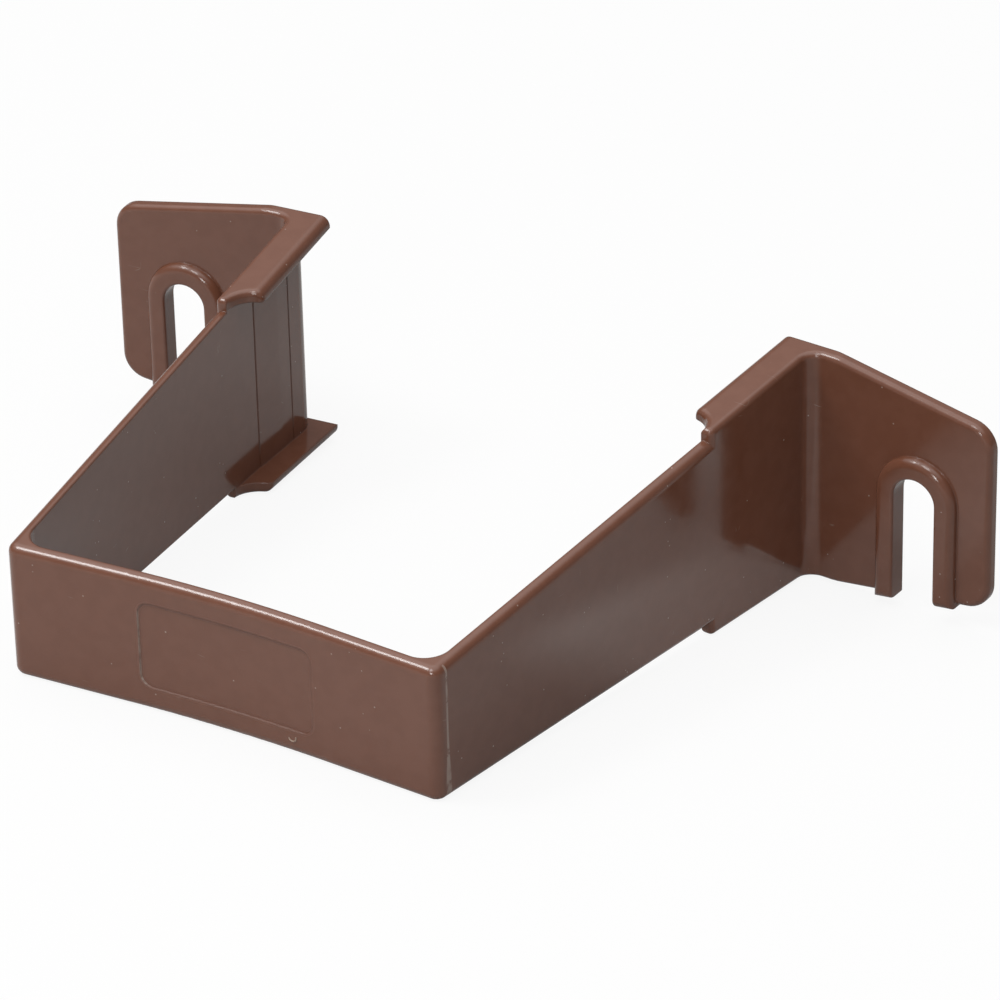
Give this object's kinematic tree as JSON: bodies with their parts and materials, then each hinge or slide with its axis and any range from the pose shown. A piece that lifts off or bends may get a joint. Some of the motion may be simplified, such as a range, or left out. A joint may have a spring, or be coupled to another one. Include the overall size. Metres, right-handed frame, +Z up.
{
  "type": "downspout clip",
  "caption": "Moulded vinyl strap that wraps a rectangular downspout, with flanged ends and slotted ears that screw to the wall.",
  "frame": {"origin": "on the wall plane, midway between the two arms and at their mid-height", "axes": "+Z up along the downspout, -Y towards the bowed front band, +Y into the wall, +X to the right seen from the front"},
  "size_m": [0.1374, 0.0846, 0.0346],
  "materials": {
    "brown_vinyl": "glossy moulded vinyl"
  },
  "bodies": {
    "root": {"downspout_clip": "brown_vinyl"}
  },
  "joints": []
}
